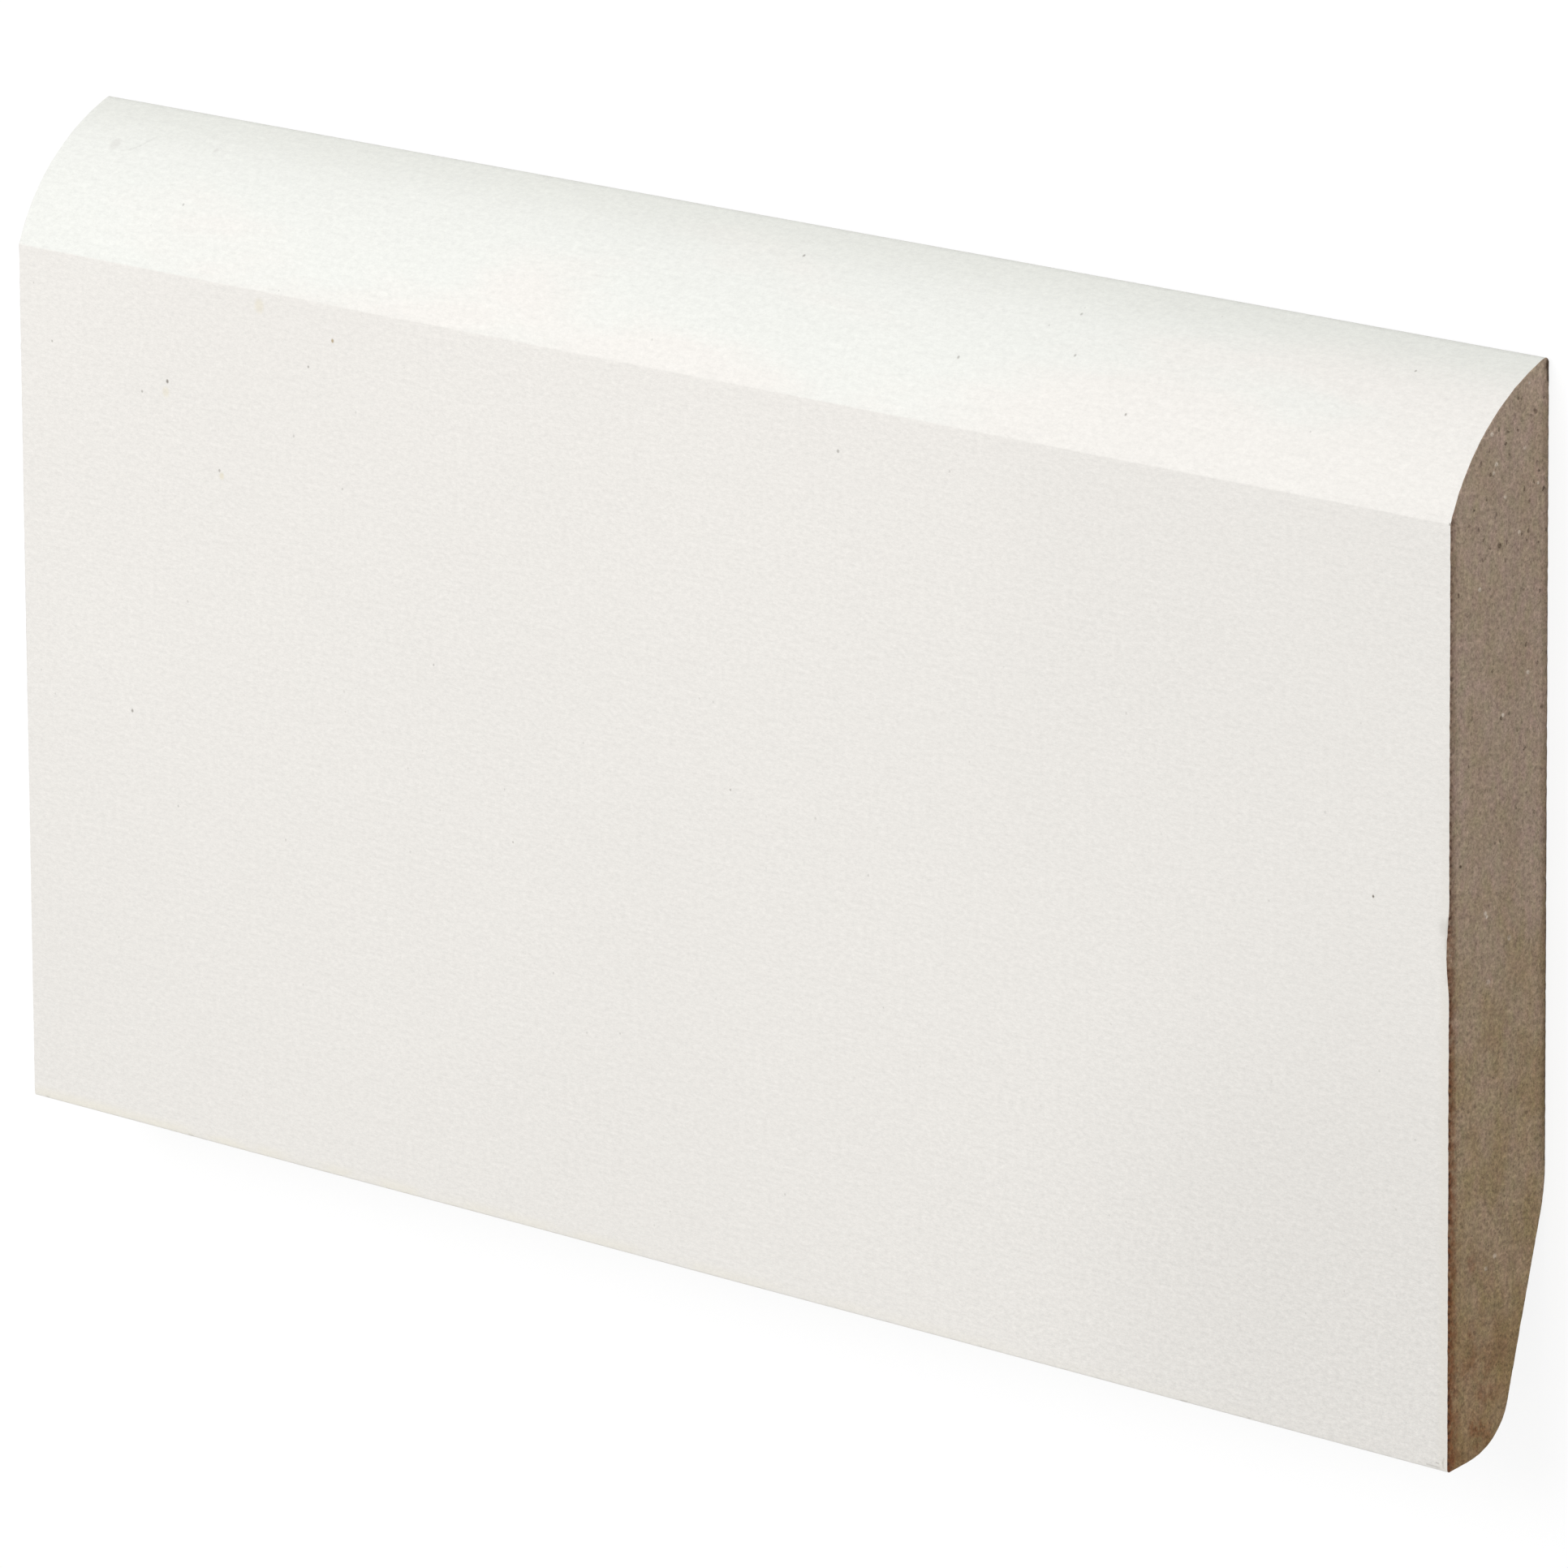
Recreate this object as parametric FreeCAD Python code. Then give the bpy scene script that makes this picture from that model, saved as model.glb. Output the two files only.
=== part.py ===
import FreeCAD, Part
import math
import os

# Skirting board length, one solid of fibreboard with both long edges moulded.
# It lies on its back: X runs along the length, Y up the board's height, Z out of the wall.
# The origin is the middle of the underside of its bounding box. All sizes are in millimetres.

# Overall size of the stock
board_length = 240.0
board_height = 119.0
board_thickness = 14.5

# Rounded top edge, from a crisp line on the front face over to the back
top_round_radius = 27.0
top_round_drop = 16.1
crisp_line_radius = 0.25
top_back_radius = 0.5

# Relieved lower back: a long bevel with a soft start, and a rounded nose at the floor
bevel_height = 29.0
bevel_angle = 13.7
bevel_start_radius = 21.0
nose_radius = 7.7
underside_angle = 13.0
floor_edge_radius = 0.3

# Which way each flat of the section faces, in degrees from straight out of the wall
front_faces = 0.0
underside_faces = -90.0 - underside_angle
bevel_faces = -180.0 + bevel_angle
back_faces = -180.0

# Ends of two runs of the outline that are closer than this are one point
same_point = 1e-6


def section_point(height, depth):
    """Point of the section, from its height above the floor and its distance from the wall."""
    return FreeCAD.Vector(0.0, height - board_height / 2.0, depth)


def direction(angle):
    """Unit vector in the section, turned from straight out of the wall up towards the top."""
    turn = math.radians(angle)
    return FreeCAD.Vector(0.0, math.sin(turn), math.cos(turn))


def angle_of(vector):
    """Angle in degrees of a vector in the section, measured as in direction()."""
    return math.degrees(math.atan2(vector.y, vector.z))


def meeting_of_circles(first_centre, first_radius, second_centre, second_radius):
    """Crossing of two circles on the right of the way from the first centre to the second."""
    way = second_centre - first_centre
    along = (way.Length ** 2 + first_radius ** 2 - second_radius ** 2) / (2.0 * way.Length)
    aside = math.sqrt(first_radius ** 2 - along ** 2)
    way.normalize()
    right = FreeCAD.Vector(0.0, -way.z, way.y)
    return first_centre + way * along + right * aside


def meeting_of_lines(first_point, first_normal, second_point, second_normal):
    """Crossing of two lines in the section, each given by a point on it and its normal."""
    first_reach = first_point.dot(first_normal)
    second_reach = second_point.dot(second_normal)
    spread = first_normal.y * second_normal.z - first_normal.z * second_normal.y
    height = (first_reach * second_normal.z - second_reach * first_normal.z) / spread
    depth = (first_normal.y * second_reach - second_normal.y * first_reach) / spread
    return FreeCAD.Vector(0.0, height, depth)


def top_corners():
    """Corners of the rounded top edge, clockwise as seen from the right end.

    The big round is tangent to the small one at the top back corner and runs through the
    crisp line on the front face, which a small round inside it takes the sharpness off.
    Each corner is a centre, a radius and the angles at which its arc starts and ends.
    """
    back_centre = section_point(board_height - top_back_radius, top_back_radius)
    crisp_line = section_point(board_height - top_round_drop, board_thickness)
    round_centre = meeting_of_circles(
        back_centre, top_round_radius - top_back_radius, crisp_line, top_round_radius
    )

    crisp_depth = board_thickness - crisp_line_radius
    crisp_reach = top_round_radius - crisp_line_radius
    crisp_rise = math.sqrt(crisp_reach ** 2 - (crisp_depth - round_centre.z) ** 2)
    crisp_centre = FreeCAD.Vector(0.0, round_centre.y + crisp_rise, crisp_depth)

    round_start = angle_of(back_centre - round_centre)
    round_end = angle_of(crisp_centre - round_centre)
    return [
        (back_centre, top_back_radius, back_faces + 360.0, round_start),
        (round_centre, top_round_radius, round_start, round_end),
        (crisp_centre, crisp_line_radius, round_end, front_faces),
    ]


def bottom_corners():
    """Corners of the floor edge, the nose and the start of the bevel, in the same form."""
    floor_centre = section_point(floor_edge_radius, board_thickness - floor_edge_radius)

    underside_normal = direction(underside_faces)
    bevel_normal = direction(bevel_faces)
    bevel_top = section_point(bevel_height, 0.0)
    nose_centre = meeting_of_lines(
        floor_centre + underside_normal * (floor_edge_radius - nose_radius),
        underside_normal,
        bevel_top - bevel_normal * nose_radius,
        bevel_normal,
    )

    start_rise = bevel_start_radius * math.tan(math.radians(bevel_angle / 2.0))
    start_centre = section_point(bevel_height + start_rise, bevel_start_radius)
    return [
        (floor_centre, floor_edge_radius, front_faces, underside_faces),
        (nose_centre, nose_radius, underside_faces, bevel_faces),
        (start_centre, bevel_start_radius, bevel_faces, back_faces),
    ]


def outline(corners):
    """Closed wire of the corners' arcs, with a straight run wherever two of them are apart."""
    edges = []
    last_centre, last_radius, _, last_angle = corners[-1]
    reached = last_centre + direction(last_angle) * last_radius
    for centre, radius, start_angle, end_angle in corners:
        start = centre + direction(start_angle) * radius
        middle = centre + direction((start_angle + end_angle) / 2.0) * radius
        end = centre + direction(end_angle) * radius
        if (start - reached).Length > same_point:
            edges.append(Part.makeLine(reached, start))
        edges.append(Part.Arc(start, middle, end).toShape())
        reached = end
    return Part.Wire(edges)


def skirting_board():
    """The section, drawn at the left end and run along the whole length."""
    section = Part.Face(outline(top_corners() + bottom_corners()))
    section.translate(FreeCAD.Vector(-board_length / 2.0, 0.0, 0.0))
    return section.extrude(FreeCAD.Vector(board_length, 0.0, 0.0))


os.makedirs("parts", exist_ok=True)
skirting_board().exportStep("parts/skirting_board.step")
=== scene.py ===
import math
import random

import bmesh
import bpy
from mathutils import Matrix, Vector, geometry, noise


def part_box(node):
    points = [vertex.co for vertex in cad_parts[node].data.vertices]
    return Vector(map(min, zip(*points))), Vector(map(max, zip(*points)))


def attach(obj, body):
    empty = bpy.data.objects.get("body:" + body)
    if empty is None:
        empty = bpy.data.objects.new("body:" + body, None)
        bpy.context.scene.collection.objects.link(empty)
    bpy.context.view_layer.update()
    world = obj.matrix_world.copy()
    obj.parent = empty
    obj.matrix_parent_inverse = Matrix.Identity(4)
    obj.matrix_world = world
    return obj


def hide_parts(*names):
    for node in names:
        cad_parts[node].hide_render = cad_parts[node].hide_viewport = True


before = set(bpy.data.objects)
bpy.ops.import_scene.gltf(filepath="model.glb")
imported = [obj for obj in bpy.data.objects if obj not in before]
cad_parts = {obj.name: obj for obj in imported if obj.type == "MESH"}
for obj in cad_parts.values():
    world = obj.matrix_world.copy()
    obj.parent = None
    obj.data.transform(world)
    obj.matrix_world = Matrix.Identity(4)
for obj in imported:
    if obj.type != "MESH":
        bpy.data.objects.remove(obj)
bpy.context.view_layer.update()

# Skirting board length: primed white on its moulded faces, raw fibreboard on both sawn ends.
# It lies on its back. X runs along the length, Y up the board's height, Z out of the wall.
# A section vector holds Y and Z.

node = "skirting_board"
_, far_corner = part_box(node)
half_length, half_height, thickness = far_corner
mm = 0.001

# The section, as the board is moulded
top_round_radius = 27.0 * mm
top_round_drop = 16.1 * mm
crisp_line_radius = 0.25 * mm
top_back_radius = 0.5 * mm
bevel_height = 29.0 * mm
bevel_angle = 13.7
bevel_start_radius = 21.0 * mm
nose_radius = 7.7 * mm
underside_angle = 13.0
floor_edge_radius = 0.3 * mm

crisp_line_height = half_height - top_round_drop
front_faces = 0.0
underside_faces = -90.0 - underside_angle
bevel_faces = -180.0 + bevel_angle
back_faces = -180.0

# How finely the mesh follows the section and the length
outline_step = 0.4 * mm
fewest_arc_steps = 4
length_step = 6.0 * mm
steps_near_end = [0.0, 0.15 * mm, 0.35 * mm, 0.6 * mm, 0.9 * mm, 1.3 * mm, 1.8 * mm, 2.6 * mm]
same_point = 1e-6

# Points strewn over a sawn end: how far apart they are and, counted in that step, how far each
# strays from its place and how far inside the rim the outermost ones lie
sawn_step = 0.32 * mm
sawn_stray = 0.25
sawn_rim_gap = 0.6
sawn_seed = 7

# How the sawn ends are cut into triangles: only inside the rim, and points this close are one
inside_rim = 1
same_corner = 1e-8


def towards(angle):
    """Unit section vector: 0 degrees is straight out of the wall, 90 degrees up the board."""
    turn = math.radians(angle)
    return Vector((math.sin(turn), math.cos(turn)))


def angle_of(vector):
    return math.degrees(math.atan2(vector[0], vector[1]))


def section_point(height, depth):
    """Section vector from a height above the floor edge and a distance from the wall."""
    return Vector((height - half_height, depth))


def meeting_of_circles(first_centre, first_radius, second_centre, second_radius):
    """Crossing of two circles on the right of the way from the first centre to the second."""
    way = second_centre - first_centre
    distance = way.length
    along = (distance ** 2 + first_radius ** 2 - second_radius ** 2) / (2.0 * distance)
    aside = math.sqrt(first_radius ** 2 - along ** 2)
    way.normalize()
    return first_centre + way * along + Vector((-way[1], way[0])) * aside


def meeting_of_lines(first_point, first_normal, second_point, second_normal):
    """Crossing of two section lines, each given by a point on it and its normal."""
    spread = first_normal.cross(second_normal)
    first_reach = first_point.dot(first_normal)
    second_reach = second_point.dot(second_normal)
    height = (first_reach * second_normal[1] - second_reach * first_normal[1]) / spread
    depth = (first_normal[0] * second_reach - second_normal[0] * first_reach) / spread
    return Vector((height, depth))


def top_corners():
    """Arcs of the rounded top edge: centre, radius, first and last angle."""
    back_centre = section_point(2.0 * half_height - top_back_radius, top_back_radius)
    crisp_line = section_point(2.0 * half_height - top_round_drop, thickness)
    round_centre = meeting_of_circles(
        back_centre, top_round_radius - top_back_radius, crisp_line, top_round_radius
    )
    crisp_depth = thickness - crisp_line_radius
    crisp_reach = top_round_radius - crisp_line_radius
    crisp_rise = math.sqrt(crisp_reach ** 2 - (crisp_depth - round_centre[1]) ** 2)
    crisp_centre = Vector((round_centre[0] + crisp_rise, crisp_depth))
    round_start = angle_of(back_centre - round_centre)
    round_end = angle_of(crisp_centre - round_centre)
    return [
        (back_centre, top_back_radius, back_faces + 360.0, round_start),
        (round_centre, top_round_radius, round_start, round_end),
        (crisp_centre, crisp_line_radius, round_end, front_faces),
    ]


def bottom_corners():
    """Arcs of the floor edge, the nose and the start of the long bevel, in the same form."""
    floor_centre = section_point(floor_edge_radius, thickness - floor_edge_radius)
    underside = towards(underside_faces)
    bevel = towards(bevel_faces)
    nose_centre = meeting_of_lines(
        floor_centre + underside * (floor_edge_radius - nose_radius),
        underside,
        section_point(bevel_height, 0.0) - bevel * nose_radius,
        bevel,
    )
    start_rise = bevel_start_radius * math.tan(math.radians(bevel_angle / 2.0))
    start_centre = section_point(bevel_height + start_rise, bevel_start_radius)
    return [
        (floor_centre, floor_edge_radius, front_faces, underside_faces),
        (nose_centre, nose_radius, underside_faces, bevel_faces),
        (start_centre, bevel_start_radius, bevel_faces, back_faces),
    ]


def outline():
    """Samples all round the section, each a point and the way it faces."""
    corners = top_corners() + bottom_corners()
    samples = []
    for corner, following in zip(corners, corners[1:] + corners[:1]):
        centre, radius, first, last = corner
        arc = math.radians(abs(last - first)) * radius
        steps = max(fewest_arc_steps, round(arc / outline_step))
        for step in range(steps):
            angle = first + (last - first) * step / steps
            samples.append((centre + towards(angle) * radius, towards(angle)))
        run_start = centre + towards(last) * radius
        run_end = following[0] + towards(following[2]) * following[1]
        run = (run_end - run_start).length
        steps = max(1, round(run / outline_step)) if run > same_point else 0
        for step in range(steps):
            samples.append((run_start.lerp(run_end, step / steps), towards(last)))
    return samples


# Relief of the primed faces: long waves of the planed board
wave_depth = 0.04 * mm
wave_length = 35.0 * mm

# Edge of the paint at the sawn ends, which breaks off unevenly
edge_break = 0.1 * mm
edge_break_ragged = 0.12 * mm
edge_break_grain = 0.7 * mm
edge_break_slope = 0.7

# The bruise on the front edge of the right end
bruise_height = 56.0 * mm
bruise_reach_up = 6.2 * mm
bruise_reach_down = 4.4 * mm
bruise_break = 0.58 * mm
bruise_depth = 0.2 * mm
bruise_reach = 1.0 * mm

# Which samples of the outline are on the flat face: how far they face out, and how near to it
faces_out = 0.9
near_face = 0.5 * mm

# Relief of the sawn ends, rougher than the primed faces
sawn_depth = 0.04 * mm
sawn_grain = 1.1 * mm
sawn_fine_depth = 0.03 * mm
sawn_fine_grain = 0.6 * mm
fibre_stretch = 1.2


def wavy(place, size):
    """Smooth noise from 0 to 1 with the given grain size along X, Y and Z."""
    scaled = Vector((place[0] / size[0], place[1] / size[1], place[2] / size[2]))
    return 0.5 + 0.5 * noise.noise(scaled)


def bell(distance):
    """1 at the middle, falling smoothly to 0 at a distance of 1."""
    reach = max(0.0, 1.0 - distance * distance)
    return reach * reach


def bruised(point, facing):
    """How strong the bruise is at a sample of the right end's outline, from 0 to 1."""
    if facing[1] < faces_out or point[1] < thickness - near_face:
        return 0.0
    rise = point[0] + half_height - bruise_height
    return bell(rise / (bruise_reach_up if rise > 0.0 else bruise_reach_down))


def broken_edge(point, facing, side):
    """How far the primed faces stop short of the sawn end at a sample of the outline."""
    place = (side * half_length, point[0], point[1])
    ragged = wavy(place, (edge_break_grain, edge_break_grain, edge_break_grain))
    short = edge_break + edge_break_ragged * ragged * ragged
    if side > 0:
        short += bruise_break * bruised(point, facing)
    return short


def primed_place(x, point, facing, from_end, side):
    """Place of a point of the primed faces, set in from the true section by its relief."""
    place = (x, point[0], point[1])
    sunk = wave_depth * wavy(place, (wave_length, wave_length, wave_length))
    if side > 0:
        sunk += bruise_depth * bruised(point, facing) * bell(min(1.0, from_end / bruise_reach))
    inner = point - facing * sunk
    return Vector((x, inner[0], inner[1]))


def sawn_place(point, side):
    """Place of a point of a sawn end, set in from the true end by its relief."""
    place = (side * half_length, point[0], point[1])
    coarse = wavy(place, (sawn_grain, sawn_grain * fibre_stretch, sawn_grain))
    fine = wavy(place, (sawn_fine_grain, sawn_fine_grain * fibre_stretch, sawn_fine_grain))
    sunk = sawn_depth * coarse + sawn_fine_depth * fine
    return Vector((side * (half_length - sunk), point[0], point[1]))


def ring_distances():
    """Distances of the mesh's rings from the left edge of the primed faces, with the nearer end.

    Each ring is a share of the whole length and a fixed distance, so that the rings near the
    ends follow the broken edge.
    """
    near = [(0.0, distance) for distance in steps_near_end]
    far = [(1.0, -distance) for distance in reversed(steps_near_end)]
    first = steps_near_end[-1]
    length = 2.0 * half_length - 2.0 * first
    count = round(length / length_step)
    middle = [(0.0, first + length * step / count) for step in range(1, count)]
    return near + middle + far


def primed_rings(samples):
    """Rings of points from the left end to the right end, round the section."""
    starts = [-half_length + broken_edge(point, facing, -1) for point, facing in samples]
    ends = [half_length - broken_edge(point, facing, 1) for point, facing in samples]
    last_near = steps_near_end[-1]
    rings = []
    for share, distance in ring_distances():
        ring = []
        for (point, facing), start, end in zip(samples, starts, ends):
            if share > 0.0:
                x = end + distance
            elif distance <= last_near:
                x = start + distance
            else:
                x = -half_length + distance
            nearer = min(x - start, end - x)
            ring.append(primed_place(x, point, facing, nearer, 1 if x > 0 else -1))
        rings.append(ring)
    return rings


def inside(point, polygon):
    """True if a section point lies in the polygon."""
    crossed = False
    previous = polygon[-1]
    for corner in polygon:
        if (corner[0] > point[0]) != (previous[0] > point[0]):
            share = (point[0] - previous[0]) / (corner[0] - previous[0])
            if point[1] < previous[1] + share * (corner[1] - previous[1]):
                crossed = not crossed
        previous = corner
    return crossed


def sawn_points(rim):
    """Points strewn over a sawn end, inside its rim."""
    draw = random.Random(sawn_seed)
    inner = [point - facing * sawn_rim_gap * sawn_step for point, facing in rim]
    polygon = [(point[0], point[1]) for point in inner]
    points = []
    row_step = sawn_step * math.sqrt(0.75)
    rows = int(2.0 * half_height / row_step)
    columns = int(thickness / sawn_step)
    for row in range(rows + 1):
        shift = 0.5 * (row % 2)
        for column in range(columns + 1):
            height = -half_height + (row + draw.uniform(-sawn_stray, sawn_stray)) * row_step
            depth = (column + shift + draw.uniform(-sawn_stray, sawn_stray)) * sawn_step
            if inside((height, depth), polygon):
                points.append(Vector((height, depth)))
    return points


def sawn_end(samples, side):
    """Places of a sawn end, starting with its rim in the order of the samples, and its triangles."""
    rim = []
    for point, facing in samples:
        set_in = edge_break_slope * broken_edge(point, facing, side)
        rim.append((point - facing * set_in, facing))
    strewn = [point for point, _ in rim] + sawn_points(rim)
    edges = [(step, (step + 1) % len(rim)) for step in range(len(rim))]
    cut = geometry.delaunay_2d_cdt(strewn, edges, [], inside_rim, same_corner)
    flat, triangles = cut[0], cut[2]
    return [sawn_place(point, side) for point in flat], triangles


def board_mesh():
    """The board: swept primed faces, a broken edge at each end and two rough sawn ends."""
    samples = outline()
    count = len(samples)
    rings = primed_rings(samples)
    places = [place for ring in rings for place in ring]
    faces = []
    for ring in range(len(rings) - 1):
        for step in range(count):
            following = (step + 1) % count
            first = ring * count
            second = first + count
            faces.append((first + step, first + following, second + following, second + step))
    primed_faces = len(faces)
    for side in (-1, 1):
        outer = 0 if side < 0 else (len(rings) - 1) * count
        end_places, triangles = sawn_end(samples, side)
        first = len(places)
        places += end_places
        for step in range(count):
            following = (step + 1) % count
            faces.append((outer + step, outer + following, first + following, first + step))
        faces += [tuple(first + corner for corner in triangle) for triangle in triangles]
    mesh = bpy.data.meshes.new(node + "_dressed")
    mesh.from_pydata(places, [], faces)
    slots = [0] * primed_faces + [1] * (len(faces) - primed_faces)
    mesh.polygons.foreach_set("material_index", slots)
    return mesh


def close_and_smooth(mesh):
    """Turns all faces outwards, shades them smooth and keeps the sawn edge sharp."""
    work = bmesh.new()
    work.from_mesh(mesh)
    bmesh.ops.recalc_face_normals(work, faces=work.faces)
    for edge in work.edges:
        edge.smooth = len({face.material_index for face in edge.link_faces}) == 1
    for face in work.faces:
        face.smooth = True
    work.to_mesh(mesh)
    work.free()


def paint(red, green, blue):
    """Linear colour from the three values of a screen colour, 0 to 255."""
    linear = []
    for value in (red, green, blue):
        share = value / 255.0
        linear.append(share / 12.92 if share <= 0.04045 else ((share + 0.055) / 1.055) ** 2.4)
    return (linear[0], linear[1], linear[2], 1.0)


# Share of its radius within which a strewn dot or a single spot is at its full strength, and the
# strength of the weakest dots
dot_core = 0.4
spot_core = 0.3
weakest_dot = 0.3

# The range that most of a noise's values lie in
noise_low = 0.25
noise_high = 0.75


class Finish:
    """A material and short calls for the nodes that it is built from."""

    def __init__(self, name):
        self.material = bpy.data.materials.new(name)
        self.material.use_nodes = True
        self.tree = self.material.node_tree
        self.shader = self.tree.nodes["Principled BSDF"]
        self.place = self.add("ShaderNodeTexCoord").outputs["Object"]
        axes = self.add("ShaderNodeSeparateXYZ")
        self.feed(axes.inputs[0], self.place)
        self.x, self.y, self.z = axes.outputs

    def add(self, kind, **settings):
        made = self.tree.nodes.new(kind)
        for name, value in settings.items():
            setattr(made, name, value)
        return made

    def feed(self, socket, source):
        """Links a socket to another node's output, or sets it to a value."""
        if isinstance(source, bpy.types.NodeSocket):
            self.tree.links.new(source, socket)
        else:
            socket.default_value = source

    def calculate(self, operation, *values):
        made = self.add("ShaderNodeMath", operation=operation)
        for socket, value in zip(made.inputs, values):
            self.feed(socket, value)
        return made.outputs[0]

    def product(self, *values):
        """All the values multiplied together."""
        total = values[0]
        for value in values[1:]:
            total = self.calculate("MULTIPLY", total, value)
        return total

    def fade(self, value, start, end, first=0.0, last=1.0):
        """Smooth change from first to last as the value goes from start to end."""
        made = self.add("ShaderNodeMapRange", interpolation_type="SMOOTHSTEP")
        for socket, source in zip(made.inputs, (value, start, end, first, last)):
            self.feed(socket, source)
        return made.outputs[0]

    def spread(self, noise_value, first, last):
        """Straight change from first to last over the usual range of a noise."""
        made = self.add("ShaderNodeMapRange", interpolation_type="LINEAR")
        for socket, source in zip(made.inputs, (noise_value, noise_low, noise_high, first, last)):
            self.feed(socket, source)
        return made.outputs[0]

    def blend(self, amount, first, second, kind="MIX"):
        """Mix of two colours. The node's colour sockets come after those for its other types."""
        made = self.add("ShaderNodeMix", data_type="RGBA", blend_type=kind)
        self.feed(made.inputs[0], amount)
        self.feed(made.inputs[6], first)
        self.feed(made.inputs[7], second)
        return made.outputs[2]

    def vary(self, colour, noise_value, amount):
        """The colour made lighter and darker by noise, by the amount either way."""
        change = self.spread(noise_value, -1.0, 1.0)
        factor = self.calculate("MULTIPLY_ADD", change, amount, 1.0)
        grey = self.add("ShaderNodeCombineColor")
        for socket in grey.inputs:
            self.feed(socket, factor)
        return self.blend(1.0, colour, grey.outputs[0], "MULTIPLY")

    def scaled_place(self, size):
        """The place counted in grains of the given size along X, Y and Z."""
        made = self.add("ShaderNodeMapping", vector_type="POINT")
        self.feed(made.inputs["Vector"], self.place)
        self.feed(made.inputs["Scale"], tuple(1.0 / length for length in size))
        return made.outputs[0]

    def grain(self, size, detail=2.0, roughness=0.5):
        """Cloudy noise, 0 to 1 about a mean of a half, whose largest grains have this size."""
        made = self.add("ShaderNodeTexNoise")
        self.feed(made.inputs["Vector"], self.scaled_place(size))
        self.feed(made.inputs["Scale"], 1.0)
        self.feed(made.inputs["Detail"], detail)
        self.feed(made.inputs["Roughness"], roughness)
        return made.outputs["Fac"]

    def dots(self, size, radius, share, ragged):
        """Small uneven dots strewn at random, 0 to 1, of many strengths.

        Each cell of the given size may hold one, and the share of cells that do is given.
        The radius, and how far the rim of a dot strays from it, are counted in cells.
        """
        made = self.add("ShaderNodeTexVoronoi", feature="F1")
        self.feed(made.inputs["Vector"], self.scaled_place(size))
        self.feed(made.inputs["Scale"], 1.0)
        rim = self.grain(tuple(0.5 * length for length in size), detail=1.0)
        distance = self.calculate("ADD", made.outputs["Distance"], self.spread(rim, -ragged, ragged))
        dot = self.fade(distance, radius, dot_core * radius)
        draws = self.add("ShaderNodeSeparateColor")
        self.feed(draws.inputs[0], made.outputs["Color"])
        chosen = self.calculate("LESS_THAN", draws.outputs[0], share)
        strength = self.calculate(
            "MULTIPLY_ADD", draws.outputs[1], 1.0 - weakest_dot, weakest_dot
        )
        return self.product(dot, chosen, strength)

    def spot(self, middle, radius, strength):
        """One soft round spot at a place on the surface, as strong as given at its middle."""
        apart = self.add("ShaderNodeVectorMath", operation="DISTANCE")
        self.feed(apart.inputs[0], self.place)
        self.feed(apart.inputs[1], middle)
        return self.fade(apart.outputs["Value"], radius, spot_core * radius, 0.0, strength)

    def stroke(self, start, end, width, strength):
        """One soft straight mark between two places on the surface."""
        run = end - start
        way = self.add("ShaderNodeVectorMath", operation="SUBTRACT")
        self.feed(way.inputs[0], self.place)
        self.feed(way.inputs[1], start)
        share = self.add("ShaderNodeVectorMath", operation="DOT_PRODUCT")
        self.feed(share.inputs[0], way.outputs["Vector"])
        self.feed(share.inputs[1], run / run.length_squared)
        within = self.calculate("MINIMUM", share.outputs["Value"], 1.0)
        within = self.calculate("MAXIMUM", within, 0.0)
        nearest = self.add("ShaderNodeVectorMath", operation="SCALE")
        self.feed(nearest.inputs[0], run)
        self.feed(nearest.inputs["Scale"], within)
        apart = self.add("ShaderNodeVectorMath", operation="DISTANCE")
        self.feed(apart.inputs[0], way.outputs["Vector"])
        self.feed(apart.inputs[1], nearest.outputs["Vector"])
        return self.fade(apart.outputs["Value"], width, spot_core * width, 0.0, strength)

    def bump(self, height, depth, under=None):
        """Relief from a height of 0 to 1 that stands for the given depth in metres."""
        made = self.add("ShaderNodeBump")
        made.inputs["Distance"].default_value = depth
        self.feed(made.inputs["Height"], height)
        if under is not None:
            self.feed(made.inputs["Normal"], under)
        return made.outputs[0]


# Primer: warm white on the flat face, cooler on the machined round and a little lighter there, which
# is painted light from above
face_white = paint(236, 233, 228)
# Painted shade for the face high on the right
face_shade = paint(234, 231, 226)
round_white = paint(238, 239, 234)
warm_white = paint(241, 238, 233)
# Painted shade for the top of the round near its back edge
shaded_round_white = paint(233, 234, 228)
# The next grey darkens flecks, dust, streaks and scuffs, and also paints shade by the bruise, in the
# dent and along the top back edge
fleck_and_shade_grey = paint(112, 106, 97)
fleck_brown = paint(164, 140, 96)
smudge_and_shade_grey = paint(206, 203, 198)
resin_yellow = paint(226, 216, 186)
edge_cream = paint(238, 233, 218)
near_end_cream = paint(227, 223, 214)
# Painted light for the rim of the floor edge
painted_light_white = paint(252, 249, 243)

# Marks on the primed faces: along the length, height above the floor edge, radius, strength
flecks = [
    (-92.7, 90.1, 0.34, 0.8),
    (-97.4, 88.3, 0.24, 0.5),
    (-67.0, 95.2, 0.24, 0.5),
    (-114.0, 92.1, 0.22, 0.45),
    (-83.4, 80.8, 0.28, 0.5),
    (-100.2, 49.8, 0.3, 0.65),
    (108.4, 61.1, 0.24, 0.95),
    (5.6, 56.7, 0.2, 0.5),
    (-45.4, 63.4, 0.22, 0.4),
    (-31.8, 44.8, 0.2, 0.45),
    (23.9, 97.7, 0.3, 0.5),
    (7.8, 116.4, 0.28, 0.6),
    (39.9, 109.9, 0.28, 0.5),
    (53.8, 115.8, 0.28, 0.4),
    (56.8, 112.1, 0.26, 0.45),
    (68.1, 107.5, 0.24, 0.6),
    (105.1, 116.2, 0.24, 0.5),
    (-93.8, 110.4, 0.24, 0.4),
    (119.8, 102.95, 0.25, 0.6),
]
brown_flecks = [
    (-62.6, 98.8, 0.34, 0.8),
]
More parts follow.
